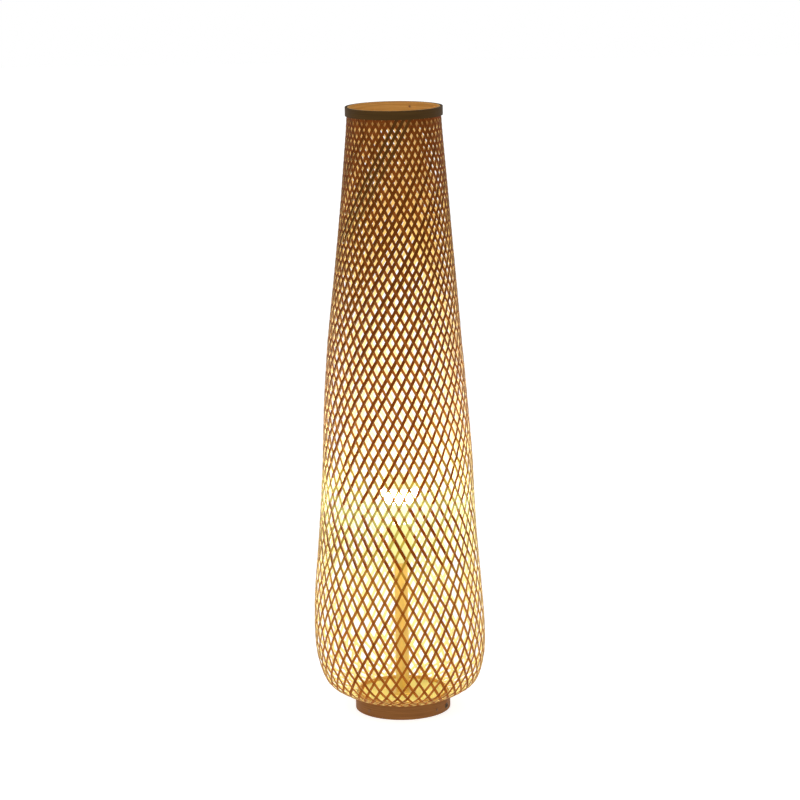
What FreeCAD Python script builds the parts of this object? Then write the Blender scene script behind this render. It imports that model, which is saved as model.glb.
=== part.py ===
import FreeCAD, Part
import math
import os
import re
import Sketcher
from FreeCAD import Placement, Rotation, Vector

# A floor lamp: a tall shade of woven bamboo strips, held between a pair of
# bamboo hoops at the top and a pair at the foot, around a bulb on a post.
# Millimetres, +Z up, origin on the floor under the middle of the lamp.
# The front of the lamp faces -Y and the cable leaves through its right side, seen from the front.

DIMENSIONS = {
    # the lamp as a whole
    "lamp_height": 1000.0,
    "foot_radius": 78.7,
    "top_radius": 78.4,
    "belly_radius": 140.8,
    "belly_height": 135.0,
    "hoop_lift": 1.0,
    # the hoops and the woven wall between them
    "weave_thickness": 1.6,
    "weave_end_gap": 3.0,
    "outer_hoop_wall": 2.6,
    "inner_hoop_wall": 2.2,
    "foot_outer_width": 23.0,
    "foot_inner_width": 29.0,
    "top_outer_width": 14.0,
    "top_inner_width": 28.0,
    "fit_clearance": 0.15,
    # nails in the top hoops
    "nail_radius": 0.7,
    "nail_head_radius": 1.6,
    "nail_head_height": 0.6,
    "nail_head_gap": 0.05,
    "nail_point_cover": 0.6,
    "nail_drop": 8.0,
    "nail_angle": 69.0,
    # the base
    "pad_height": 5.0,
    "pad_radius": 7.0,
    "pad_taper": 1.0,
    "pad_circle": 60.5,
    "board_thickness": 20.0,
    "recess_radius": 48.0,
    "recess_depth": 10.0,
    "weight_thickness": 8.0,
    "weight_hole_radius": 14.0,
    "weight_screw_circle": 34.0,
    "weight_screw_radius": 1.8,
    "weight_screw_bite": 6.0,
    "weight_head_radius": 3.6,
    "weight_head_height": 1.7,
    "foot_screw_angle": -45.0,
    "foot_screw_radius": 1.5,
    "foot_screw_bite": 10.0,
    "foot_head_radius": 2.4,
    "foot_head_height": 1.2,
    "foot_head_edge": 0.5,
    "foot_head_top_radius": 1.5,
    "side_hole_height": 10.0,
    # the cable bush in the side of the foot
    "cable_angle": -25.0,
    "bush_bore_radius": 2.8,
    "bush_wall": 1.0,
    "bush_flange_radius": 4.6,
    "bush_flange_height": 1.3,
    "bush_inside": 2.0,
    # the threaded tube that clamps the lamp together, and the post round it
    "rod_radius": 5.0,
    "rod_bore_radius": 3.8,
    "nut_flats": 14.0,
    "nut_height": 4.0,
    "washer_radius": 11.0,
    "washer_thickness": 1.5,
    "rod_below_nut": 1.0,
    "rod_in_holder": 9.0,
    "seat_radius": 22.0,
    "seat_height": 3.0,
    "spigot_height": 4.0,
    "post_radius": 11.2,
    "post_wall": 1.5,
    "post_length": 218.0,
    "collar_radius": 13.0,
    "collar_height": 3.0,
    # the lamp holder
    "holder_radius": 20.0,
    "holder_wall": 1.8,
    "cap_floor_radius": 13.5,
    "cap_height": 24.0,
    "cap_shoulder": 10.0,
    "shell_height": 44.0,
    "shell_lip_radius": 15.2,
    "joint_gap": 0.3,
    "core_floor_height": 31.0,
    "core_floor_thickness": 7.0,
    "core_wall": 2.3,
    "core_height": 33.0,
    "socket_radius": 13.5,
    "socket_wall": 0.5,
    "socket_height": 22.0,
    "socket_lift": 3.0,
    "contact_radius": 3.2,
    "contact_height": 2.5,
    "tab_width": 4.0,
    "tab_thickness": 3.0,
    "tab_height": 2.9,
    "terminal_circle": 10.5,
    "terminal_radius": 1.8,
    "terminal_length": 4.0,
    "terminal_head_radius": 3.0,
    "terminal_head_height": 2.0,
    # the bulb
    "button_radius": 4.6,
    "button_height": 1.5,
    "insulator_height": 4.0,
    "insulator_radius": 11.0,
    "thread_crest": 13.1,
    "thread_root": 12.2,
    "thread_pitch": 3.6,
    "bulb_cap_wall": 1.0,
    "bulb_cap_height": 21.5,
    "bulb_radius": 30.0,
    "bulb_length": 108.0,
    "bulb_neck_radius": 13.4,
    "glass_wall": 0.8,
    "stem_foot_radius": 9.0,
    "stem_radius": 3.5,
    "stem_height": 20.0,
    "filament_radius": 0.9,
    "filament_length": 32.0,
    "filament_circle": 8.0,
    "wire_radius": 0.5,
}

# Heights and radii that follow from the sizes above.
DERIVED = {
    "foot_seat": "foot_radius - outer_hoop_wall",
    "top_seat": "top_radius - outer_hoop_wall",
    "foot_inside": "foot_seat - weave_thickness - inner_hoop_wall",
    "top_inside": "top_seat - weave_thickness - inner_hoop_wall",
    "board_radius": "foot_inside - fit_clearance",
    "board_top": "pad_height + board_thickness",
    "recess_ceiling": "pad_height + recess_depth",
    "weight_radius": "recess_radius - 2 * fit_clearance",
    "weight_bottom": "recess_ceiling - weight_thickness",
    "rod_hole": "rod_radius + fit_clearance",
    "washer_bottom": "recess_ceiling - washer_thickness",
    "nut_bottom": "washer_bottom - nut_height",
    "rod_bottom": "nut_bottom - rod_below_nut",
    "post_bottom": "board_top + seat_height",
    "post_inside": "post_radius - post_wall",
    "spigot_radius": "post_inside - fit_clearance",
    "post_top": "post_bottom + post_length",
    "holder_bottom": "post_top + collar_height",
    "rod_top": "holder_bottom + rod_in_holder",
    "holder_inside": "holder_radius - holder_wall",
    "shell_bottom": "holder_bottom + cap_height + joint_gap",
    "core_bottom": "holder_bottom + core_floor_height",
    "core_radius": "holder_inside - joint_gap",
    "core_inside": "core_radius - core_wall",
    "core_floor_top": "core_bottom + core_floor_thickness",
    "bulb_bottom": "core_floor_top + contact_height + joint_gap",
    "bulb_cap_bottom": "bulb_bottom + button_height + insulator_height",
    "glass_bottom": "bulb_cap_bottom + bulb_cap_height",
    "stem_top": "glass_bottom + stem_height",
    "bush_radius": "bush_bore_radius + bush_wall",
}

# The woven wall's outline above its belly, and the bowl below it:
# (share of the height, share of the change in radius).
WALL_SHAPE = ((0.19, 0.165), (0.38, 0.305), (0.57, 0.488), (0.76, 0.73), (0.93, 0.93))
BOWL_SHAPE = ((0.02, 0.17), (0.09, 0.41), (0.21, 0.71), (0.40, 0.87), (0.64, 0.965))
# The woven wall's direction at its two ends, and how finely its inner side follows its outer.
WALL_START = Vector(0.99, 0, 0.12)
WALL_END = Vector(-0.05, 0, 1)
WALL_SAMPLES = 40
SAME_POINT = 1e-6
# The bulb's outline from its neck to the widest part of its round end.
BULB_NECK = ((0.0, 0.0), (0.22, 0.09), (0.5, 0.36), (0.78, 0.80))

FASTENERS_ROUND_HOOP = 4
PADS = 4
WEIGHT_SCREWS = 3
TERMINALS = 2
FILAMENTS = 4
THREAD_TURNS = 4

SHEET = "Dims"
WORD = re.compile(r"[a-z_]+[a-z]")

doc = FreeCAD.newDocument("FloorLamp")
sheet = doc.addObject("Spreadsheet::Sheet", SHEET)
parts = []


def fill_sheet():
    for row, (name, value) in enumerate(DIMENSIONS.items(), start=1):
        sheet.set(f"A{row}", name)
        sheet.set(f"B{row}", str(value))
        sheet.setAlias(f"B{row}", name)
    doc.recompute()


def bound(text):
    """A formula in the names above, written as the sheet's own expression."""

    def cell(match):
        word = match.group(0)
        if word in DERIVED:
            return "(" + bound(DERIVED[word]) + ")"
        return f"{SHEET}.{word}" if word in DIMENSIONS else word

    return WORD.sub(cell, str(text))


def amount(text):
    """The same formula's value, read back through a cell of the sheet."""
    scratch = "D1"
    sheet.set(scratch, "=" + bound(text).replace(SHEET + ".", ""))
    sheet.recompute()
    return float(sheet.get(scratch))


def keep(piece, label):
    piece.Label = label
    parts.append(piece)
    return piece


def origin_feature(body, role):
    return next(o for o in body.Origin.OriginFeatures if o.Role == role)


def outline_sketch(body, corners):
    """A closed outline of straight sides on the XZ plane, as (radius, height) formulas."""
    sketch = body.newObject("Sketcher::SketchObject", "Outline")
    sketch.AttachmentSupport = [(origin_feature(body, "XZ_Plane"), "")]
    sketch.MapMode = "FlatFace"
    places = [Vector(max(amount(r), 0.0), max(amount(z), 0.0), 0) for r, z in corners]
    count = len(corners)
    for i in range(count):
        sketch.addGeometry(Part.LineSegment(places[i], places[(i + 1) % count]), False)
    for i in range(count):
        sketch.addConstraint(Sketcher.Constraint("Coincident", i, 2, (i + 1) % count, 1))
    for i, (r, z) in enumerate(corners):
        measures = (("DistanceX", places[i].x, r, -2), ("DistanceY", places[i].y, z, -1))
        for kind, value, formula, axis in measures:
            if value == 0:
                sketch.addConstraint(Sketcher.Constraint("PointOnObject", i, 1, axis))
                continue
            n = sketch.addConstraint(Sketcher.Constraint(kind, -1, 1, i, 1, value))
            sketch.setExpression(f"Constraints[{n}]", bound(formula))
    return sketch


def turned(label, corners, base="0", place=None):
    """A piece turned about its own axis, standing at the height base."""
    body = doc.addObject("PartDesign::Body", label)
    body.Label = label
    sketch = outline_sketch(body, corners)
    turn = body.newObject("PartDesign::Revolution", "Turn")
    turn.Profile = sketch
    turn.ReferenceAxis = (sketch, ["V_Axis"])
    turn.Angle = 360
    sketch.Visibility = False
    if place is None:
        body.setExpression("Placement.Base.z", bound(base))
    else:
        body.Placement = place
    return body


def tube(label, outside, inside, height, base):
    corners = [(inside, "0"), (outside, "0"), (outside, height), (inside, height)]
    return turned(label, corners, base)


def outward(radius, height, angle):
    """A place on the lamp's side whose own Z points straight out from the axis."""
    turn = math.radians(angle)
    out = Vector(math.cos(turn), math.sin(turn), 0)
    return Placement(out * radius + Vector(0, 0, height), Rotation(Vector(0, 0, 1), out))


def upright(radius, height, angle):
    turn = math.radians(angle)
    return Placement(Vector(radius * math.cos(turn), radius * math.sin(turn), height), Rotation())


def drill(name, radius, length, place):
    tool = doc.addObject("Part::Cylinder", name)
    tool.setExpression("Radius", bound(radius))
    tool.setExpression("Height", bound(length))
    tool.Placement = place
    return tool


def slot(name, width, length, height, base):
    """A straight cutter that runs from the axis out to where the cable leaves."""
    tool = doc.addObject("Part::Box", name)
    tool.setExpression("Length", bound(length))
    tool.setExpression("Width", bound(width))
    tool.setExpression("Height", bound(height))
    side = Placement(Vector(0, -amount(width) / 2, amount(base)), Rotation())
    swing = Placement(Vector(), Rotation(Vector(0, 0, 1), amount("cable_angle")))
    tool.Placement = swing.multiply(side)
    return tool


def cut(label, base, tools):
    base.Label = label + "_blank"
    tool = tools[0]
    if len(tools) > 1:
        tool = doc.addObject("Part::Compound", label + "_cutters")
        tool.Links = tools
    result = doc.addObject("Part::Cut", label)
    result.Base = base
    result.Tool = tool
    result.Refine = True
    return result


def group(label, members):
    result = doc.addObject("Part::Compound", label)
    result.Links = members
    return result


def around(count, first):
    return [first + i * 360.0 / count for i in range(count)]


def foot_angles():
    return around(FASTENERS_ROUND_HOOP, amount("foot_screw_angle"))


def nail_angles():
    return around(FASTENERS_ROUND_HOOP, amount("nail_angle"))


def foot_cutters(label, start, length):
    """Holes for the screws round the foot, and for the cable bush."""
    height = amount("side_hole_height")
    tools = [
        drill(f"{label}_screw_hole_{i}", "foot_screw_radius", length, outward(start, height, angle))
        for i, angle in enumerate(foot_angles())
    ]
    tools.append(drill(label + "_bush_hole", "bush_radius", "foot_radius",
                       outward(0, height, amount("cable_angle"))))
    return tools


def nail_cutters(label):
    height = amount("lamp_height - nail_drop")
    length = "top_radius - top_inside - nail_point_cover"
    return [
        drill(f"{label}_{i}", "nail_radius", length, outward(amount("top_inside"), height, angle))
        for i, angle in enumerate(nail_angles())
    ]


def wall_outline():
    """Points on the woven wall's outer side, from the foot hoop's edge up to the top hoop's."""
    foot_edge = amount("hoop_lift + foot_outer_width")
    top_edge = amount("lamp_height - top_outer_width")
    foot, belly, top = amount("foot_seat"), amount("belly_radius"), amount("top_seat")
    belly_height = amount("belly_height")
    points = [Vector(foot, 0, foot_edge)]
    for rise, run in BOWL_SHAPE:
        points.append(
            Vector(foot + run * (belly - foot), 0, foot_edge + rise * (belly_height - foot_edge))
        )
    points.append(Vector(belly, 0, belly_height))
    for rise, run in WALL_SHAPE:
        height = belly_height + rise * (top_edge - belly_height)
        points.append(Vector(belly + run * (top - belly), 0, height))
    points.append(Vector(top, 0, top_edge))
    return points


def spline_through(points, first=None, last=None):
    curve = Part.BSplineCurve()
    if first is None:
        curve.interpolate(Points=points)
    else:
        curve.interpolate(Points=points, InitialTangent=first, FinalTangent=last, Scale=False)
    return curve


def inner_curve(curve, wall, samples):
    """A second curve one wall's thickness nearer the axis than the first."""
    start, end = curve.FirstParameter, curve.LastParameter
    points = []
    for i in range(samples + 1):
        at = start + (end - start) * i / samples
        along = curve.tangent(at)[0]
        points.append(curve.value(at) + Vector(-along.z, 0, along.x) * wall)
    return spline_through(points)


def turned_shell(label, name, outside, inside):
    """A closed shell between two open outlines, each a list of edges from bottom to top."""
    bottom = Part.makeLine(inside[0].Vertexes[0].Point, outside[0].Vertexes[0].Point)
    top = Part.makeLine(outside[-1].Vertexes[-1].Point, inside[-1].Vertexes[-1].Point)
    wire = Part.Wire(Part.sortEdges([bottom, *outside, top, *inside])[0])
    piece = doc.addObject("Part::Feature", name)
    piece.Label = label
    piece.Shape = Part.Face(wire).revolve(Vector(0, 0, 0), Vector(0, 0, 1), 360)
    piece.Placement = Placement()
    return piece


def woven_shade():
    """The basket's true outer shape, open at both ends, one crossing of strips thick."""
    wall = amount("weave_thickness")
    ends = (amount("hoop_lift + weave_end_gap"), amount("lamp_height - weave_end_gap"))
    outer = spline_through(wall_outline(), WALL_START, WALL_END)
    inner = inner_curve(outer, wall, WALL_SAMPLES)
    sides = []
    for curve, inset in ((outer, 0), (inner, wall)):
        low, high = curve.value(curve.FirstParameter), curve.value(curve.LastParameter)
        foot = Vector(amount("foot_seat") - inset, 0, ends[0])
        top = Vector(amount("top_seat") - inset, 0, ends[1])
        foot_edge = Vector(foot.x, 0, low.z)
        top_edge = Vector(top.x, 0, high.z)
        edges = [Part.makeLine(foot, foot_edge)]
        if (low - foot_edge).Length > SAME_POINT:
            edges.append(Part.makeLine(foot_edge, low))
        edges.append(curve.toShape())
        if (high - top_edge).Length > SAME_POINT:
            edges.append(Part.makeLine(high, top_edge))
        edges.append(Part.makeLine(top_edge, top))
        sides.append(edges)
    blank = turned_shell("woven_shade", "WovenShadeBlank", *sides)
    cutters = foot_cutters("shade", 0, "foot_radius") + nail_cutters("shade_nail")
    keep(cut("woven_shade", blank, cutters), "woven_shade")


def top_hoops():
    rim = "lamp_height"
    outer = tube("top_hoop_outer", "top_radius", "top_seat", "top_outer_width",
                 f"{rim} - top_outer_width")
    keep(cut("top_hoop_outer", outer, nail_cutters("outer_nail")), "top_hoop_outer")
    inner = tube("top_hoop_inner", "top_seat - weave_thickness", "top_inside", "top_inner_width",
                 f"{rim} - top_inner_width")
    keep(cut("top_hoop_inner", inner, nail_cutters("inner_nail")), "top_hoop_inner")


def top_nails():
    """Nails driven from inside through both hoops, with flat round heads."""
    height = amount("lamp_height - nail_drop")
    length = "top_radius - top_inside - nail_point_cover"
    point = f"nail_head_height + nail_head_gap + {length}"
    corners = [("0", "0"), ("nail_head_radius", "0"), ("nail_head_radius", "nail_head_height"),
               ("nail_radius", "nail_head_height"), ("nail_radius", point), ("0", point)]
    start = amount("top_inside - nail_head_height - nail_head_gap")
    nails = [turned(f"top_nail_{i}", corners, place=outward(start, height, angle))
             for i, angle in enumerate(nail_angles(), start=1)]
    keep(group("top_hoop_nails", nails), "top_hoop_nails")


def foot_hoops():
    outer = tube("foot_hoop_outer", "foot_radius", "foot_seat", "foot_outer_width", "hoop_lift")
    keep(cut("foot_hoop_outer", outer, foot_cutters("outer", 0, "foot_radius")),
         "foot_hoop_outer")
    inner = tube("foot_hoop_inner", "foot_seat - weave_thickness", "foot_inside",
                 "foot_inner_width", "hoop_lift")
    keep(cut("foot_hoop_inner", inner, foot_cutters("inner", 0, "foot_radius")),
         "foot_hoop_inner")


def foot_screws():
    """Domed screws through the foot hoops into the edge of the base board."""
    shank = "foot_radius - board_radius + foot_screw_bite"
    head = f"{shank} + foot_head_height"
    corners = [("0", "0"), ("foot_screw_radius", "foot_screw_radius"), ("foot_screw_radius", shank),
               ("foot_head_radius", shank), ("foot_head_radius", f"{shank} + foot_head_edge"),
               ("foot_head_top_radius", head), ("0", head)]
    start = amount("board_radius - foot_screw_bite")
    height = amount("side_hole_height")
    screws = [turned(f"foot_screw_{i}", corners, place=outward(start, height, angle))
              for i, angle in enumerate(foot_angles(), start=1)]
    keep(group("foot_screws", screws), "foot_screws")


def weight_screw_angles():
    return around(WEIGHT_SCREWS, -90)


def base_board():
    """The round wooden base, hollowed below for the iron weight and the cable."""
    ceiling = "recess_depth"
    corners = [("rod_hole", ceiling), ("recess_radius", ceiling), ("recess_radius", "0"),
               ("board_radius", "0"), ("board_radius", "board_thickness"),
               ("rod_hole", "board_thickness")]
    blank = turned("base_board", corners, "pad_height")
    start = amount("board_radius - foot_screw_bite")
    height = amount("side_hole_height")
    tools = [drill(f"board_screw_hole_{i}", "foot_screw_radius", "foot_screw_bite + 1",
                   outward(start, height, angle))
             for i, angle in enumerate(foot_angles())]
    for i, angle in enumerate(weight_screw_angles()):
        place = upright(amount("weight_screw_circle"), amount("recess_ceiling"), angle)
        tools.append(drill(f"board_weight_hole_{i}", "weight_screw_radius", "weight_screw_bite",
                           place))
    tools.append(slot("board_channel", "2 * (bush_radius + fit_clearance)", "foot_radius",
                      "recess_depth", "pad_height"))
    keep(cut("base_board", blank, tools), "base_board")


def base_weight():
    """An iron disc in the board's recess, slotted for the cable and held by three screws."""
    blank = tube("base_weight", "weight_radius", "weight_hole_radius", "weight_thickness",
                 "weight_bottom")
    low = amount("weight_bottom")
    tools = [drill(f"weight_hole_{i}", "weight_screw_radius", "weight_thickness",
                   upright(amount("weight_screw_circle"), low, angle))
             for i, angle in enumerate(weight_screw_angles())]
    tools.append(slot("weight_slot", "2 * (bush_radius + fit_clearance)", "foot_radius",
                      "weight_thickness", "weight_bottom"))
    keep(cut("base_weight", blank, tools), "base_weight")


def weight_screws():
    length = "weight_head_height + weight_thickness + weight_screw_bite"
    corners = [("0", "0"), ("weight_head_radius", "0"), ("weight_head_radius", "weight_head_height"),
               ("weight_screw_radius", "weight_head_height"),
               ("weight_screw_radius", f"{length} - weight_screw_radius"), ("0", length)]
    low = amount("weight_bottom - weight_head_height")
    screws = [turned(f"weight_screw_{i}", corners,
                     place=upright(amount("weight_screw_circle"), low, angle))
              for i, angle in enumerate(weight_screw_angles(), start=1)]
    keep(group("weight_screws", screws), "weight_screws")


def rubber_feet():
    corners = [("0", "0"), ("pad_radius - pad_taper", "0"), ("pad_radius", "pad_height"),
               ("0", "pad_height")]
    feet = [turned(f"rubber_foot_{i}", corners, place=upright(amount("pad_circle"), 0, angle))
            for i, angle in enumerate(around(PADS, 45), start=1)]
    keep(group("rubber_feet", feet), "rubber_feet")


def cable_bush():
    """The plastic bush that lines the cable's hole through the side of the foot."""
    inside = "foot_radius - board_radius + bush_inside"
    length = f"{inside} + bush_flange_height"
    corners = [("bush_bore_radius", "0"), ("bush_radius", "0"), ("bush_radius", inside),
               ("bush_flange_radius", inside), ("bush_flange_radius", f"{length} - bush_wall / 2"),
               ("bush_radius", length), ("bush_bore_radius", length)]
    start = amount("board_radius - bush_inside")
    place = outward(start, amount("side_hole_height"), amount("cable_angle"))
    body = turned("cable_bush", corners, place=place)
    keep(body, "cable_bush")


def clamp_rod():
    """The threaded tube, with its nut and washer under the board."""
    keep(tube("threaded_tube", "rod_radius", "rod_bore_radius", "rod_top - rod_bottom",
              "rod_bottom"), "threaded_tube")
    keep(tube("clamp_washer", "washer_radius", "rod_hole", "washer_thickness", "washer_bottom"),
         "clamp_washer")
    hexagon = doc.addObject("Part::Prism", "nut_blank")
    hexagon.Polygon = 6
    hexagon.setExpression("Circumradius", bound("nut_flats / 2 / cos(30)"))
    hexagon.setExpression("Height", bound("nut_height"))
    hexagon.setExpression("Placement.Base.z", bound("nut_bottom"))
    bore = drill("nut_bore", "rod_radius", "nut_height", upright(0, amount("nut_bottom"), 0))
    keep(cut("clamp_nut", hexagon, [bore]), "clamp_nut")


def post():
    """The plain tube between the base and the lamp holder, seated on a spigot at each end."""
    keep(turned("post_seat", [("rod_hole", "0"), ("seat_radius", "0"),
                              ("seat_radius", "0.5 * seat_height"),
                              ("seat_radius - 0.5 * seat_height", "seat_height"),
                              ("spigot_radius", "seat_height"),
                              ("spigot_radius", "seat_height + spigot_height"),
                              ("rod_hole", "seat_height + spigot_height")], "board_top"),
         "post_seat")
    keep(tube("post_tube", "post_radius", "post_inside", "post_length", "post_bottom"),
         "post_tube")
    keep(turned("post_collar", [("rod_hole", "0"), ("spigot_radius", "0"),
                                ("spigot_radius", "spigot_height"),
                                ("post_radius", "spigot_height"),
                                ("collar_radius", "spigot_height + 0.4 * collar_height"),
                                ("collar_radius", "spigot_height + collar_height"),
                                ("rod_hole", "spigot_height + collar_height")],
                "post_top - spigot_height"), "post_collar")


def lamp_holder():
    floor = "holder_wall"
    keep(turned("holder_cap", [("rod_radius", "0"), ("cap_floor_radius", "0"),
                               ("holder_radius", "cap_shoulder"), ("holder_radius", "cap_height"),
                               ("holder_inside", "cap_height"),
                               ("holder_inside", "cap_shoulder + 0.5 * holder_wall"),
                               ("cap_floor_radius - 0.5 * holder_wall", floor),
                               ("rod_radius", floor)], "holder_bottom"), "holder_cap")
    lip = "shell_height - holder_wall"
    keep(turned("holder_shell", [("holder_inside", "0"), ("holder_radius", "0"),
                                 ("holder_radius", lip),
                                 ("holder_radius - holder_wall", "shell_height"),
                                 ("shell_lip_radius", "shell_height"), ("shell_lip_radius", lip),
                                 ("holder_inside", lip)], "shell_bottom"), "holder_shell")
    keep(turned("holder_core", [("contact_radius", "0"), ("core_radius", "0"),
                                ("core_radius", "core_height"), ("core_inside", "core_height"),
                                ("core_inside", "core_floor_thickness"),
                                ("contact_radius", "core_floor_thickness")], "core_bottom"),
         "holder_core")
    keep(tube("screw_shell", "socket_radius + socket_wall", "socket_radius", "socket_height",
              "core_floor_top + socket_lift"), "screw_shell")


def holder_contacts():
    depth = "core_floor_thickness"
    keep(turned("centre_contact", [("0", "0"), ("contact_radius - fit_clearance", "0"),
                                   ("contact_radius - fit_clearance", f"{depth} + 0.6 * contact_height"),
                                   ("0.5 * contact_radius", f"{depth} + contact_height"),
                                   ("0", f"{depth} + contact_height")], "core_bottom"),
         "centre_contact")
    tab = doc.addObject("Part::Box", "side_contact")
    tab.setExpression("Length", bound("tab_thickness"))
    tab.setExpression("Width", bound("tab_width"))
    tab.setExpression("Height", bound("tab_height"))
    tab.setExpression("Placement.Base.x", bound("socket_radius + socket_wall - tab_thickness"))
    tab.setExpression("Placement.Base.y", bound("0 - tab_width / 2"))
    tab.setExpression("Placement.Base.z", bound("core_floor_top"))
    keep(tab, "side_contact")
    corners = [("0", "0"), ("terminal_head_radius", "0"),
               ("terminal_head_radius", "terminal_head_height"),
               ("terminal_radius", "terminal_head_height"),
               ("terminal_radius", "terminal_head_height + terminal_length"),
               ("0", "terminal_head_height + terminal_length")]
    low = amount("core_bottom - terminal_head_height - terminal_length")
    screws = [turned(f"terminal_screw_{i}", corners,
                     place=upright(amount("terminal_circle"), low, angle))
              for i, angle in enumerate(around(TERMINALS, 0), start=1)]
    keep(group("terminal_screws", screws), "terminal_screws")


def bulb_base():
    """The bulb's contact button, glass insulator and ring-threaded metal cap."""
    top = "button_height"
    keep(turned("bulb_contact", [("0", "0"), ("0.6 * button_radius", "0"),
                                 ("button_radius", "0.5 * button_height"),
                                 ("button_radius", top), ("0", top)], "bulb_bottom"),
         "bulb_contact")
    keep(turned("bulb_insulator", [("0", "0"), ("button_radius", "0"),
                                   ("insulator_radius", "insulator_height"),
                                   ("0", "insulator_height")], f"bulb_bottom + {top}"),
         "bulb_insulator")
    thread = []
    for i in range(THREAD_TURNS):
        thread += [("thread_root", f"0.5 * thread_pitch + {i} * thread_pitch"),
                   ("thread_crest", f"0.8 * thread_pitch + {i} * thread_pitch"),
                   ("thread_crest", f"1.2 * thread_pitch + {i} * thread_pitch")]
    thread += [("thread_root", f"{THREAD_TURNS} * thread_pitch + 0.5 * thread_pitch")]
    inside = "thread_root - bulb_cap_wall"
    corners = [("insulator_radius - bulb_cap_wall", "0"), ("insulator_radius", "0"), *thread,
               ("thread_root", "bulb_cap_height - 2 * bulb_cap_wall"),
               ("bulb_neck_radius", "bulb_cap_height - bulb_cap_wall"),
               ("bulb_neck_radius", "bulb_cap_height"), (inside, "bulb_cap_height"),
               (inside, "bulb_cap_wall")]
    keep(turned("bulb_cap", corners, "bulb_cap_bottom"), "bulb_cap")


def bulb_glass():
    """The pear-shaped glass, drawn as a neck curve that runs into a round end."""
    low, radius = amount("glass_bottom"), amount("bulb_radius")
    neck = amount("bulb_neck_radius - bulb_cap_wall / 2")
    middle = amount("bulb_bottom + bulb_length - bulb_radius")
    wall = amount("glass_wall")

    def side(inset):
        points = [Vector(neck - inset + run * (radius - neck), 0, low + rise * (middle - low))
                  for rise, run in BULB_NECK]
        points.append(Vector(radius - inset, 0, middle))
        curve = spline_through(points, Vector(0, 0, 1), Vector(0, 0, 1))
        end = radius - inset
        bend = end * math.sqrt(0.5)
        dome = Part.Arc(points[-1], Vector(bend, 0, middle + bend), Vector(0, 0, middle + end))
        return [curve.toShape(), dome.toShape()]

    keep(turned_shell("bulb_glass", "BulbGlass", side(0), side(wall)), "bulb_glass")


def bulb_inside():
    """The glass stem, the filament sticks round it and the wires that hold them."""
    taper = "0.35 * stem_height"
    keep(turned("bulb_stem", [("0", "0"), ("stem_foot_radius", "0"), ("stem_foot_radius", "1"),
                              ("stem_radius", taper), ("stem_radius", "stem_height"),
                              ("0", "stem_height")], "glass_bottom"), "bulb_stem")
    low = amount("stem_top + 2 * wire_radius")
    high = amount("stem_top + 2 * wire_radius + filament_length")
    angles = around(FILAMENTS, 45)
    sticks = [drill(f"filament_{i}", "filament_radius", "filament_length",
                    upright(amount("filament_circle"), low, angle))
              for i, angle in enumerate(angles)]
    keep(group("bulb_filaments", sticks), "bulb_filaments")
    reach = "filament_circle + filament_radius"
    wire = amount("wire_radius")
    wires = [drill("spindle", "wire_radius", "filament_length + 3 * wire_radius",
                   upright(0, low - wire, 0))]
    for i, angle in enumerate(angles):
        wires.append(drill(f"low_spoke_{i}", "wire_radius", reach, outward(0, low - wire, angle)))
        wires.append(drill(f"high_spoke_{i}", "wire_radius", reach, outward(0, high + wire, angle)))
    frame = doc.addObject("Part::MultiFuse", "filament_frame")
    frame.Shapes = wires
    keep(frame, "filament_frame")


def check_document():
    doc.recompute()
    for thing in doc.Objects:
        if "Invalid" in thing.State or "Error" in thing.State:
            raise RuntimeError(f"{thing.Label} failed: {thing.State}")
    for piece in parts:
        if piece.Shape.isNull() or not piece.Shape.isValid() or not piece.Shape.Solids:
            raise RuntimeError(f"{piece.Label} has no valid solid")


def write_parts():
    os.makedirs("parts", exist_ok=True)
    for piece in parts:
        piece.Shape.exportStep(f"parts/{piece.Label}.step")
        box = piece.Shape.BoundBox
        print(f"{piece.Label}: {len(piece.Shape.Solids)} solid(s), z {box.ZMin:.1f} to {box.ZMax:.1f}")


fill_sheet()
woven_shade()
top_hoops()
top_nails()
foot_hoops()
foot_screws()
base_board()
base_weight()
weight_screws()
rubber_feet()
cable_bush()
clamp_rod()
post()
lamp_holder()
holder_contacts()
bulb_base()
bulb_glass()
bulb_inside()
check_document()
write_parts()
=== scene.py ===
import math

import bpy
import numpy as np
from mathutils import Euler, Matrix, Vector


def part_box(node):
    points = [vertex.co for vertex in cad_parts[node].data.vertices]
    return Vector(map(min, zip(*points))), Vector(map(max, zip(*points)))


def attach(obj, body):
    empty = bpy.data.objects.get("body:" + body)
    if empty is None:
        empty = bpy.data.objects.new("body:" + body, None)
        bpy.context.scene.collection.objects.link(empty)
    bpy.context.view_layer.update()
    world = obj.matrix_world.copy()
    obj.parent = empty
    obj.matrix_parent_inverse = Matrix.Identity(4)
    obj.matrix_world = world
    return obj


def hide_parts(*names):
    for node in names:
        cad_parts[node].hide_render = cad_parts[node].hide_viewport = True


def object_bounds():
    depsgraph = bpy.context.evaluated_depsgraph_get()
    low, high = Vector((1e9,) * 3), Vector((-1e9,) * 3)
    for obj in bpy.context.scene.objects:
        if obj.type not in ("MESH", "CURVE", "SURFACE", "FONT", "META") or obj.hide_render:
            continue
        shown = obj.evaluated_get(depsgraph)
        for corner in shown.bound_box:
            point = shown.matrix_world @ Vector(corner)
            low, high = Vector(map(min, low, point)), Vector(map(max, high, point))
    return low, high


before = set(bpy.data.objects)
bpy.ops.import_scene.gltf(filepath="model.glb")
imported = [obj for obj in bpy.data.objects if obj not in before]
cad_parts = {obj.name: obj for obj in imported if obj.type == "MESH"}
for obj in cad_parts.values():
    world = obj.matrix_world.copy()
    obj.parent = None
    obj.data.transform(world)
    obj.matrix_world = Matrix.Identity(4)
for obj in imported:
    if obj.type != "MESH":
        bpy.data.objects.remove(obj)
cad_low, cad_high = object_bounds()

LAMP = "lamp"

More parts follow.
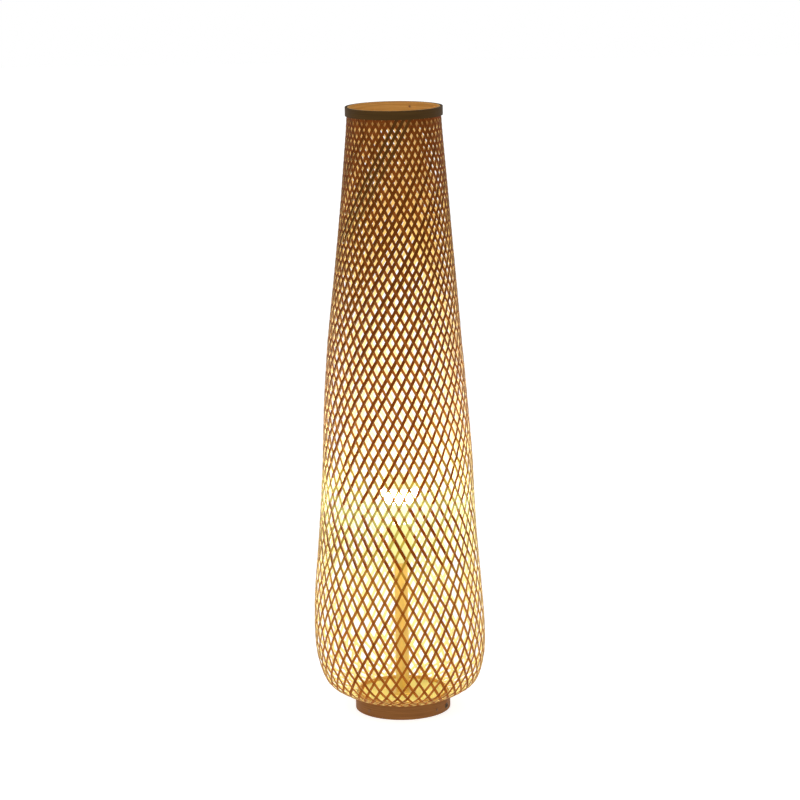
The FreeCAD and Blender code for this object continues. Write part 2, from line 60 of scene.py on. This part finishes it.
# The woven wall, in metres and degrees.
STRIPS = 46  # strips in each of the two layers that cross
LEAN = 28.0  # how far a strip leans from upright on the wall
FOOT_LEAN = 35.0  # and on the turn under the belly
STRIP_WIDTH = 0.0044
WIDER_ABOVE = 0.62  # height from which the strips grow wider
WIDEST_SHARE = 1.17  # and their width at the top, as a share of STRIP_WIDTH
# How far the whole weave is turned at each height, as a share of the way between two strips.
TWIST = ((0.05, 0.0), (0.20, 0.28), (0.35, 0.09), (0.50, 0.155), (0.62, 0.12), (0.72, 0.12),
         (0.85, 0.18), (1.0, 0.10))
WIDTH_SHARES = (0.90, 1.08)  # narrowest and widest strip, as shares of STRIP_WIDTH
WIDTH_WANDER = 0.06  # how far the width changes along one strip, as a share of it
STRIP_THICKNESS = 0.0008
CROWN = 1.25  # how far a strip's middle stands out, as a share of half its thickness
WEAVE_RISE = 0.00042  # how far a strip moves in and out between two crossings
# How unevenly the strips lie, as shares of the way between two: all along, and by turns.
OFF_PLACE, WANDER = 0.05, 0.16
FACES_OUT = 0.25  # least cosine between outward and the normal of the wall's outer face
LIT_AT_CROSSING = 0.25  # share of the light that a strip lets through where another crosses it
# Where a crossing begins and ends, as shares of half a strip's width from the other's middle.
CROSSING_EDGE = (0.75, 1.35)
# Where strips lie double, for each layer: the range of heights of the lower and upper ends.
OVERLAPS = {1: ((0.362, 0.435), (0.82, 0.97)), -1: ((0.255, 0.285), (0.322, 0.368))}
OVERLAP_ASIDE = 0.0009  # how far the second strip of a doubled length lies to one side
LAID_OFF = STRIP_THICKNESS * 1.05  # how far a strip laid against another lies from it
DARK_STRIPS = 3  # dark strips laid over the weave below the top hoop
DARK_AT = math.radians(-79)  # where the first of them meets the hoop
DARK_FROM = (0.78, 0.85)  # and how far down they reach
# How far the hand-made wall bows to one side, by height.
BOW = ((0.03, 0.0), (0.12, -0.0030), (0.20, -0.0046), (0.30, -0.0042), (0.42, -0.0026),
       (0.52, -0.0042), (0.62, -0.0046), (0.72, -0.0025), (0.85, -0.0006), (1.0, 0.0))
STEP = 0.0028  # length of one facet along a strip
STRIPS_IN_PIECE = 8

# Light of the bulb on the weave, painted into the strips as emission, as heights in metres and
# colours: what shines through a single strip and what falls on the strips' inner sides. Where
# strips cross or lie double, less light is painted: one colour shines through, and STRENGTH
# says how strongly at each height.
THROUGH_SINGLE = (
    (0.006, (0.80, 0.60, 0.28)), (0.03, (0.40, 0.13, 0.02)), (0.12, (0.40, 0.125, 0.016)),
    (0.24, (0.44, 0.19, 0.024)), (0.31, (0.52, 0.47, 0.07)), (0.363, (0.64, 0.66, 0.20)),
    (0.41, (0.64, 0.48, 0.07)), (0.48, (0.60, 0.26, 0.035)), (0.58, (0.43, 0.135, 0.016)),
    (0.75, (0.20, 0.047, 0.006)), (0.97, (0.115, 0.026, 0.005)))
ON_INSIDE = (
    (0.02, (0.40, 0.42, 0.16)), (0.12, (0.46, 0.50, 0.26)), (0.25, (0.56, 0.62, 0.36)),
    (0.37, (0.74, 0.82, 0.56)), (0.50, (0.66, 0.62, 0.46)), (0.60, (0.58, 0.52, 0.36)),
    (0.67, (0.52, 0.46, 0.27)), (0.76, (0.46, 0.36, 0.15)), (0.81, (0.40, 0.29, 0.11)),
    (0.86, (0.31, 0.24, 0.11)), (0.91, (0.24, 0.18, 0.09)), (0.97, (0.22, 0.13, 0.055)))
STRENGTH = ((0.02, 0.55), (0.12, 0.55), (0.25, 0.75), (0.37, 1.0), (0.50, 0.7), (0.62, 0.45),
            (0.76, 0.25), (0.97, 0.15))
THROUGH_CROSSING = (0.42, 0.10, 0.010)
THROUGH_DOUBLE = (0.27, 0.05, 0.004)

AMBIENT = 0.65  # soft white light from all sides

# How strongly the bulb lights the lamp, and how bright it looks: all over, and in the band
# round its filaments.
BULB_LIGHT = 40.0
BULB_GLOW = 0.6
BAND_GLOW = 200000.0
BAND_HEIGHT = 0.363
BAND_SPREAD = 0.0040

FLOOR_GREY, FLOOR_GLOW, FLOOR_REACH = 0.45, 0.82, 12.0
SOFTBOX_PLACE, SOFTBOX_SIZE, SOFTBOX_POWER = (-1.2, -1.8, 2.3), 1.6, 8.0

# The camera: in degrees, and its place in lamp heights but for the first, in metres.
PITCH, ROLL = 11.91, 0.90
CAMERA_ASIDE, CAMERA_BACK, CAMERA_UP = 0.0027, 4.5, 1.47
LENS, SENSOR = 127.0, 36.0  # millimetres

rng = np.random.default_rng(7)


# ---------------------------------------------------------------- node helpers


def new_material(name):
    mat = bpy.data.materials.new(name)
    mat.use_nodes = True
    mat.node_tree.nodes.clear()
    return mat, mat.node_tree


def node(tree, kind, inputs=None, **settings):
    made = tree.nodes.new(kind)
    for key, value in settings.items():
        setattr(made, key, value)
    for key, value in (inputs or {}).items():
        if isinstance(value, bpy.types.NodeSocket):
            tree.links.new(value, made.inputs[key])
        else:
            made.inputs[key].default_value = value
    return made


def math_node(tree, operation, first, second=0.0):
    return node(tree, "ShaderNodeMath", {0: first, 1: second}, operation=operation).outputs[0]


def colour_mix(tree, factor, first, second, blend="MIX"):
    mix = tree.nodes.new("ShaderNodeMix")
    mix.data_type = "RGBA"
    mix.blend_type = blend
    for socket, value in ((mix.inputs[0], factor), (mix.inputs[6], first), (mix.inputs[7], second)):
        if isinstance(value, bpy.types.NodeSocket):
            tree.links.new(value, socket)
        elif isinstance(value, tuple):
            socket.default_value = (*value, 1.0)
        else:
            socket.default_value = value
    return mix.outputs[2]


def ramp(tree, factor, *stops):
    made = node(tree, "ShaderNodeValToRGB", {0: factor})
    elements = made.color_ramp.elements
    while len(elements) < len(stops):
        elements.new(0.5)
    for element, (place, colour) in zip(elements, stops):
        element.position = place
        element.color = (*colour, 1.0)
    return made.outputs[0]


def noise(tree, vector, scale, detail=3.0):
    made = node(tree, "ShaderNodeTexNoise",
                {"Vector": vector, "Scale": scale, "Detail": detail, "Roughness": 0.55})
    return made.outputs[0]


def stretched(tree, vector, scale):
    return node(tree, "ShaderNodeMapping", {"Vector": vector, "Scale": scale}).outputs[0]


def bump(tree, height, strength, distance):
    made = node(tree, "ShaderNodeBump",
                {"Height": height, "Strength": strength, "Distance": distance})
    return made.outputs[0]


def object_place(tree):
    return tree.nodes.new("ShaderNodeTexCoord").outputs["Object"]


def round_place(tree, radius):
    """(length round the lamp's axis, distance from the axis, height) of a point, in metres."""
    parts = node(tree, "ShaderNodeSeparateXYZ", {0: object_place(tree)})
    x, y, z = parts.outputs
    round_length = math_node(tree, "MULTIPLY", math_node(tree, "ARCTAN2", y, x), radius)
    away = math_node(tree, "SQRT", math_node(tree, "ADD", math_node(tree, "MULTIPLY", x, x),
                                             math_node(tree, "MULTIPLY", y, y)))
    joined = node(tree, "ShaderNodeCombineXYZ", {0: round_length, 1: away, 2: z})
    return joined.outputs[0]


def finish_material(tree, shader):
    node(tree, "ShaderNodeOutputMaterial", {"Surface": shader})


# ---------------------------------------------------------------- materials


def strip_material(name, dark, light):
    """Split bamboo, stained outside and pale inside, with the bulb's light painted on and through
    it.
    """
    mat, tree = new_material(name)
    along = node(tree, "ShaderNodeUVMap", uv_map="Strip").outputs[0]
    tone, inside, lit = (node(tree, "ShaderNodeAttribute", attribute_name=title).outputs["Fac"]
                         for title in ("tone", "inside", "lit"))
    fibres = noise(tree, stretched(tree, along, (22.0, 1500.0, 1.0)), 1.0, 4.0)
    blotches = noise(tree, stretched(tree, along, (26.0, 90.0, 1.0)), 1.0, 2.0)
    skin = ramp(tree, fibres, (0.25, dark), (0.75, light))
    skin = colour_mix(tree, math_node(tree, "MULTIPLY", blotches, 0.6), skin, dark)
    skin = colour_mix(tree, math_node(tree, "MULTIPLY", tone, 0.7), skin, dark)
    pith = ramp(tree, fibres, (0.25, (0.60, 0.42, 0.16)), (0.75, (0.76, 0.58, 0.26)))
    z = node(tree, "ShaderNodeSeparateXYZ", {0: object_place(tree)}).outputs[2]
    # Painted light of the bulb, given as emission: dim where strips cross or lie double, brighter
    # through single strips and on the inner sides.
    crossing = math_node(tree, "MULTIPLY", lit, 1 / LIT_AT_CROSSING)
    through = colour_mix(tree, crossing, THROUGH_DOUBLE, THROUGH_CROSSING)
    strength = ramp(tree, z, *((at, (share, share, share)) for at, share in STRENGTH))
    through = colour_mix(tree, 1.0, through, strength, "MULTIPLY")
    single = node(tree, "ShaderNodeMapRange",
                  {"Value": lit, "From Min": LIT_AT_CROSSING}).outputs[0]
    through = colour_mix(tree, single, through, ramp(tree, z, *THROUGH_SINGLE))
    through = colour_mix(tree, tone, through, (0.62, 0.50, 0.45), "MULTIPLY")
    painted_glow = colour_mix(tree, inside, through, ramp(tree, z, *ON_INSIDE))
    painted_glow = colour_mix(tree, 1.0, painted_glow, ramp(tree, fibres, (0.2, (0.80, 0.78, 0.7)),
                                            (0.8, (1.0, 1.0, 1.0))), "MULTIPLY")
    solid = node(tree, "ShaderNodeBsdfPrincipled", {
        "Base Color": colour_mix(tree, inside, skin, pith),
        "Roughness": math_node(tree, "ADD", math_node(tree, "MULTIPLY", fibres, 0.25), 0.38),
        "Specular IOR Level": 0.03, "Normal": bump(tree, fibres, 0.35, 0.0003),
        "Emission Color": painted_glow, "Emission Strength": 1.0})
    finish_material(tree, solid.outputs[0])
    mat.cycles.emission_sampling = "NONE"
    return mat


def hoop_material(name, dark, light, radius):
    """A bent bamboo hoop, with its grain running round the lamp."""
    mat, tree = new_material(name)
    place = round_place(tree, radius)
    grain = noise(tree, stretched(tree, place, (14.0, 700.0, 700.0)), 1.0, 5.0)
    waves = noise(tree, stretched(tree, place, (9.0, 60.0, 160.0)), 1.0, 2.0)
    colour = ramp(tree, grain, (0.25, dark), (0.75, light))
    colour = colour_mix(tree, math_node(tree, "MULTIPLY", waves, 0.5), colour, dark)
    solid = node(tree, "ShaderNodeBsdfPrincipled", {
        "Base Color": colour,
        "Roughness": math_node(tree, "ADD", math_node(tree, "MULTIPLY", grain, 0.25), 0.42),
        "Specular IOR Level": 0.06, "Normal": bump(tree, grain, 0.3, 0.0004)})
    finish_material(tree, solid.outputs[0])
    return mat


def board_material():
    """Pale plywood with long straight grain."""
    mat, tree = new_material("plywood")
    place = object_place(tree)
    grain = noise(tree, stretched(tree, place, (900.0, 18.0, 900.0)), 1.0, 5.0)
    figure = noise(tree, stretched(tree, place, (60.0, 6.0, 60.0)), 1.0, 2.0)
    colour = ramp(tree, grain, (0.3, (0.74, 0.66, 0.23)), (0.7, (0.84, 0.78, 0.31)))
    colour = colour_mix(tree, math_node(tree, "MULTIPLY", figure, 0.5), colour,
                        (0.66, 0.56, 0.17))
    solid = node(tree, "ShaderNodeBsdfPrincipled", {
        "Base Color": colour, "Roughness": 0.62, "Normal": bump(tree, grain, 0.25, 0.0003)})
    finish_material(tree, solid.outputs[0])
    return mat


def plain_material(name, colour, roughness, metal=0.0, spread=0.12, size=240.0, relief=0.15,
                   coat=0.0):
    """A moulded, cast or turned finish: one colour with fine mottling and relief."""
    mat, tree = new_material(name)
    place = object_place(tree)
    mottle = noise(tree, place, size, 4.0)
    darker = tuple(c * (1 - spread) for c in colour)
    lighter = tuple(min(c * (1 + spread), 1.0) for c in colour)
    solid = node(tree, "ShaderNodeBsdfPrincipled", {
        "Base Color": ramp(tree, mottle, (0.3, darker), (0.7, lighter)),
        "Roughness": math_node(tree, "ADD", math_node(tree, "MULTIPLY", mottle, 0.2),
                               max(roughness - 0.1, 0.05)),
        "Metallic": metal, "Coat Weight": coat,
        "Normal": bump(tree, mottle, relief, 0.0003)})
    finish_material(tree, solid.outputs[0])
    return mat


def lit_glass_material():
    """Frosted warm glass with the lamp on: brightest in a band round its filaments."""
    mat, tree = new_material("lit_glass")
    z = node(tree, "ShaderNodeSeparateXYZ", {0: object_place(tree)}).outputs[2]
    away = math_node(tree, "DIVIDE", math_node(tree, "SUBTRACT", z, BAND_HEIGHT), BAND_SPREAD)
    fall = math_node(tree, "EXPONENT", math_node(tree, "MULTIPLY", away,
                                                 math_node(tree, "MULTIPLY", away, -1.0)))
    looks = math_node(tree, "ADD", math_node(tree, "MULTIPLY", fall, BAND_GLOW), BULB_GLOW)
    seen = node(tree, "ShaderNodeLightPath").outputs["Is Camera Ray"]
    strength = node(tree, "ShaderNodeMapRange",
                    {"Value": seen, "To Min": BULB_LIGHT, "To Max": looks}).outputs[0]
    solid = node(tree, "ShaderNodeBsdfPrincipled", {
        "Base Color": (0.62, 0.58, 0.38, 1.0), "Roughness": 0.45,
        "Emission Color": (1.0, 0.93, 0.64, 1.0), "Emission Strength": strength,
        "Normal": bump(tree, noise(tree, object_place(tree), 900.0), 0.05, 0.0002)})
    finish_material(tree, solid.outputs[0])
    return mat


def dress(names, material):
    for name in names:
        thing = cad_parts[name]
        thing.data.materials.clear()
        thing.data.materials.append(material)


def dress_cad_nodes():
    hoop_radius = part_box("top_hoop_outer")[1].x
    dress(["top_hoop_outer"],
          hoop_material("hoop_dark", (0.046, 0.023, 0.005), (0.090, 0.046, 0.011), hoop_radius))
    dress(["top_hoop_inner", "foot_hoop_inner"],
          hoop_material("hoop_pale", (0.40, 0.18, 0.040), (0.80, 0.50, 0.17), hoop_radius))
    dress(["foot_hoop_outer"],
          hoop_material("hoop_foot", (0.19, 0.075, 0.020), (0.34, 0.148, 0.046), hoop_radius))
    dress(["base_board"], board_material())
    dress(["base_weight"],
          plain_material("cast_iron", (0.05, 0.05, 0.055), 0.7, 0.4, 0.3, 500, 0.5))
    dress(["rubber_feet"], plain_material("rubber", (0.02, 0.02, 0.02), 0.75))
    dress(["weight_screws", "clamp_washer", "threaded_tube", "bulb_contact", "filament_frame"],
          plain_material("zinc", (0.60, 0.60, 0.62), 0.35, 1.0))
    dress(["top_hoop_nails", "foot_screws"],
          plain_material("browned_steel", (0.22, 0.095, 0.030), 0.6, 0.0, 0.3))
    dress(["clamp_nut", "screw_shell", "centre_contact", "side_contact", "terminal_screws"],
          plain_material("brass", (0.72, 0.52, 0.22), 0.3, 1.0))
    dress(["bulb_insulator"], plain_material("black_plastic", (0.03, 0.03, 0.03), 0.45))
    dress(["cable_bush"], plain_material("brown_plastic", (0.10, 0.062, 0.030), 0.6))
    # Cream enamel, with the bulb's warm golden light painted into its colour.
    dress(["post_seat", "post_tube", "post_collar"],
          plain_material("cream_enamel_painted_warm_light", (0.70, 0.47, 0.11), 0.35, coat=0.3, spread=0.03))
    # Cream plastic, with the bulb's yellow-green light painted into its colour.
    dress(["holder_cap", "holder_shell"],
          plain_material("cream_plastic_painted_bulb_light", (0.66, 0.72, 0.42), 0.3, coat=0.2, spread=0.02))
    dress(["holder_core"],
          plain_material("ceramic", (0.88, 0.86, 0.80), 0.2, coat=0.5, spread=0.02))
    dress(["bulb_cap"], plain_material("aluminium", (0.80, 0.80, 0.80), 0.3, 1.0, 0.05))
    dress(["bulb_stem"], plain_material("stem_glass", (0.85, 0.87, 0.85), 0.1))
    dress(["bulb_filaments"], plain_material("phosphor", (0.95, 0.62, 0.12), 0.5))
    dress(["bulb_glass"], lit_glass_material())


# ---------------------------------------------------------------- the woven wall


def wall_profile():
    """The weave's middle line from foot to top, a strip's thickness inside the wall's outer face.

    Gives radius, height, outward normal and length along the line at every STEP, and the
    height of the belly.
    """
    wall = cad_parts["woven_shade"].data
    belly = max(wall.vertices, key=lambda v: v.co.xy.length).co.z
    rows = {}
    for vertex in wall.vertices:
        out = vertex.co - Vector((0, 0, max(vertex.co.z, belly)))
        if vertex.normal.dot(out.normalized()) < FACES_OUT:
            continue
        turn = math.atan2(vertex.co.z - belly, vertex.co.xy.length)
        rows.setdefault(round(turn, 4), []).append((vertex.co.xy.length, vertex.co.z))
    points = np.array([np.median(rows[k], axis=0) for k in sorted(rows)])
    lengths = np.concatenate([[0], np.cumsum(np.hypot(*np.diff(points, axis=0).T))])
    count = int(lengths[-1] / STEP)
    at = np.linspace(0, lengths[-1], count)
    radius = np.interp(at, lengths, points[:, 0])
    height = np.interp(at, lengths, points[:, 1])
    for _ in range(3):
        radius[1:-1] = (radius[:-2] + 2 * radius[1:-1] + radius[2:]) / 4
        height[1:-1] = (height[:-2] + 2 * height[1:-1] + height[2:]) / 4
    slope_r, slope_z = np.gradient(radius), np.gradient(height)
    size = np.hypot(slope_r, slope_z)
    normal_r, normal_z = slope_z / size, -slope_r / size
    radius, height = radius - normal_r * STRIP_THICKNESS, height - normal_z * STRIP_THICKNESS
    return radius, height, normal_r, normal_z, at, belly


def wander(count, amount, waves):
    """A smooth random line along a strip: a few slow waves of random phase."""
    run = np.linspace(0, 1, count)
    line = np.zeros(count)
    for i in range(waves):
        turn, phase = rng.uniform(0.4, 1.0) * (i + 1) * 2, rng.uniform(0, 2 * math.pi)
        line += np.sin(2 * math.pi * turn * run + phase) / (i + 1)
    return amount * line / waves


class Bundle:
    """Strips gathered into one mesh, with their own map and attributes."""

    def __init__(self):
        self.points, self.faces, self.maps = [], [], []
        self.tones, self.insides, self.lits = [], [], []

    def add(self, path, normal, width, thickness, tone, lit, along):
        """One strip: a flat section, crowned outside, swept along path and closed at both ends."""
        ahead = np.gradient(path, axis=0)
        ahead /= np.linalg.norm(ahead, axis=1)[:, None]
        side = np.cross(normal, ahead)
        side /= np.linalg.norm(side, axis=1)[:, None]
        half = width[:, None] / 2
        up = thickness / 2
        corners = [path - side * half + normal * up, path + side * half + normal * up,
                   path + side * half - normal * up, path - side * half - normal * up]
        crown = path + normal * up * CROWN
        ring = [corners[0], crown, corners[1], corners[2], corners[3]]
        across = [-1.0, 0.0, 1.0, 1.0, -1.0]
        inside = [0.0, 0.0, 0.0, 1.0, 1.0]
        sides, count = len(ring), len(path)
        first = len(self.points)
        offset = rng.uniform(0, 40)
        for i in range(count):
            for k in range(sides):
                self.points.append(tuple(ring[k][i]))
                self.maps.append((along[i] + offset, across[k] * width[i] / 2 + tone))
                self.insides.append(inside[k])
                self.tones.append(tone)
                self.lits.append(lit[i])
        for i in range(count - 1):
            a = first + i * sides
            for k in range(sides):
                m = (k + 1) % sides
                self.faces.append((a + k, a + m, a + sides + m, a + sides + k))
        last = first + (count - 1) * sides
        self.faces.append(tuple(first + k for k in reversed(range(sides))))
        self.faces.append(tuple(last + k for k in range(sides)))

    def build(self, name, material):
        mesh = bpy.data.meshes.new(name)
        mesh.from_pydata(self.points, [], self.faces)
        mesh.update()
        layer = mesh.uv_layers.new(name="Strip")
        loops = np.zeros(len(mesh.loops), int)
        mesh.loops.foreach_get("vertex_index", loops)
        layer.data.foreach_set("uv", np.array(self.maps)[loops].ravel())
        for title, values in (("tone", self.tones), ("inside", self.insides),
                              ("lit", self.lits)):
            attribute = mesh.attributes.new(title, "FLOAT", "POINT")
            attribute.data.foreach_set("value", np.array(values, np.float32))
        mesh.materials.append(material)
        piece = bpy.data.objects.new(name, mesh)
        bpy.context.scene.collection.objects.link(piece)
        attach(piece, LAMP)
        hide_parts("woven_shade")


def wall_strips():
    plain = strip_material("bamboo_strip", (0.060, 0.018, 0.0018), (0.170, 0.052, 0.006))
    stained = strip_material("bamboo_strip_dark", (0.052, 0.024, 0.004), (0.105, 0.050, 0.010))
    radius, height, normal_r, normal_z, at, belly = wall_profile()
    top, count = height[-1], len(at)
    low_turn = np.clip((belly - height) / belly, 0, 1)
    lean = np.radians(LEAN + (FOOT_LEAN - LEAN) * low_turn)
    turn = np.concatenate([[0], np.cumsum(np.tan(lean[1:]) * np.diff(at) / radius[1:])])
    spacing = 2 * math.pi / STRIPS
    twist = spacing * np.interp(height, *zip(*TWIST))
    bow = np.interp(height, *zip(*BOW))
    wider = 1 + (WIDEST_SHARE - 1) * np.clip((height - WIDER_ABOVE) / (top - WIDER_ABOVE), 0, 1)

    angles, widths, tones, doubled = {}, {}, {}, {}
    for way in (1, -1):
        rough = np.array([spacing * (rng.normal(0, OFF_PLACE) + wander(count, WANDER, 4))
                          for _ in range(STRIPS)])
        angles[way] = spacing * np.arange(STRIPS)[:, None] + way * turn + twist + rough
        widths[way] = rng.uniform(*WIDTH_SHARES, STRIPS)
        tones[way] = rng.uniform(0, 1, STRIPS)
        low, high = OVERLAPS[way]
        doubled[way] = [(rng.uniform(*low), rng.uniform(*high)) for _ in range(STRIPS)]

    def lit_share(way, index):
        """Share of the bulb's light that gets through a strip: less at crossings, none where
        it lies double."""
        apart = angles[-way] - angles[way][index]
        apart = np.abs((apart + math.pi) % (2 * math.pi) - math.pi).min(axis=0) * radius
        edge = STRIP_WIDTH * wider / 2 / np.cos(lean)
        share = np.interp(apart / edge, CROSSING_EDGE, (LIT_AT_CROSSING, 1.0))
        low, high = doubled[way][index]
        return np.where((height > low) & (height < high), 0.0, share)

    def strip(bundle, way, index, lift=0.0, start=0.0, end=top, aside=0.0):
        """A strip of the layer that climbs one way, between two heights."""
        i0, i1 = np.searchsorted(height, start), np.searchsorted(height, end) + 1
        angle = angles[way][index] + aside / radius
        weave = way * np.cos(STRIPS * turn) * WEAVE_RISE + lift
        r, z = radius + weave * normal_r, height + weave * normal_z
        path = np.stack([r * np.cos(angle) + bow, r * np.sin(angle), z], axis=1)[i0:i1]
        normal = np.stack([normal_r * np.cos(angle), normal_r * np.sin(angle), normal_z],
                          axis=1)[i0:i1]
        width = STRIP_WIDTH * widths[way][index] * (1 + wander(count, WIDTH_WANDER, 5))
        lit = lit_share(way, index) * (lift <= 0)
        bundle.add(path, normal, (width * wider)[i0:i1], STRIP_THICKNESS, tones[way][index],
                   lit[i0:i1], at[i0:i1])

    names = {1: "rising_right", -1: "rising_left"}
    for way in (1, -1):
        for first in range(0, STRIPS, STRIPS_IN_PIECE):
            bundle = Bundle()
            for index in range(first, min(first + STRIPS_IN_PIECE, STRIPS)):
                strip(bundle, way, index)
            bundle.build(f"strips_{names[way]}_{first // STRIPS_IN_PIECE + 1}", plain)

        # Second strips laid against the first ones' inner sides where two lengths overlap.
        bundle = Bundle()
        for index, (low, high) in enumerate(doubled[way]):
            strip(bundle, way, index, -LAID_OFF, low, high, OVERLAP_ASIDE)
        bundle.build(f"overlaps_{names[way]}", plain)

    # A few dark strips laid over the weave, from the top hoop down.
    bundle = Bundle()
    first = round((DARK_AT - turn[-1]) / spacing)
    for index in range(first, first + DARK_STRIPS):
        strip(bundle, 1, index % STRIPS, LAID_OFF, rng.uniform(*DARK_FROM))
    bundle.build("dark_strips", stained)


# ---------------------------------------------------------------- stage


def studio():
    """White all round, a white floor that glows a little, and a softbox at the front left."""
    scene = bpy.context.scene
    world = bpy.data.worlds.new("studio")
    scene.world = world
    world.use_nodes = True
    back = world.node_tree.nodes["Background"]
    back.inputs[0].default_value = (1.0, 1.0, 1.0, 1.0)
    seen = node(world.node_tree, "ShaderNodeLightPath").outputs["Is Camera Ray"]
    strength = node(world.node_tree, "ShaderNodeMapRange",
                    {"Value": seen, "To Min": AMBIENT, "To Max": 1.0})
    world.node_tree.links.new(strength.outputs[0], back.inputs[1])
    scene.view_settings.view_transform = "Standard"
    mesh = bpy.data.meshes.new("floor")
    far = FLOOR_REACH
    mesh.from_pydata([(-far, -far, 0), (far, -far, 0), (far, far, 0), (-far, far, 0)], [],
                     [(0, 1, 2, 3)])
    floor = bpy.data.objects.new("floor", mesh)
    scene.collection.objects.link(floor)
    mat, tree = new_material("studio_floor")
    solid = node(tree, "ShaderNodeBsdfPrincipled",
                 {"Base Color": (FLOOR_GREY, FLOOR_GREY, FLOOR_GREY, 1.0), "Roughness": 0.9,
                  "Specular IOR Level": 0.1, "Emission Color": (1.0, 1.0, 1.0, 1.0),
                  "Emission Strength": FLOOR_GLOW})
    finish_material(tree, solid.outputs[0])
    mesh.materials.append(mat)
    light = bpy.data.lights.new("softbox", "AREA")
    light.shape = "SQUARE"
    light.size = SOFTBOX_SIZE
    light.energy = SOFTBOX_POWER
    softbox = bpy.data.objects.new("softbox", light)
    softbox.location = SOFTBOX_PLACE
    aim = Vector((0, 0, 0.5)) - softbox.location
    softbox.rotation_euler = aim.to_track_quat("-Z", "Y").to_euler()
    scene.collection.objects.link(softbox)


def camera():
    """The lamp seen from the front and a little above, from four and a half metres away."""
    lamp_height = cad_high.z
    data = bpy.data.cameras.new("camera")
    data.sensor_width = SENSOR
    data.lens = LENS
    cam = bpy.data.objects.new("camera", data)
    pitch, roll = math.radians(PITCH), math.radians(ROLL)
    cam.location = (CAMERA_ASIDE, -CAMERA_BACK * lamp_height, CAMERA_UP * lamp_height)
    look = Euler((math.pi / 2 - pitch, 0, 0)).to_matrix()
    cam.rotation_euler = (look @ Matrix.Rotation(-roll, 3, "Z")).to_euler()
    bpy.context.scene.collection.objects.link(cam)
    bpy.context.scene.camera = cam


dress_cad_nodes()
wall_strips()
studio()
camera()
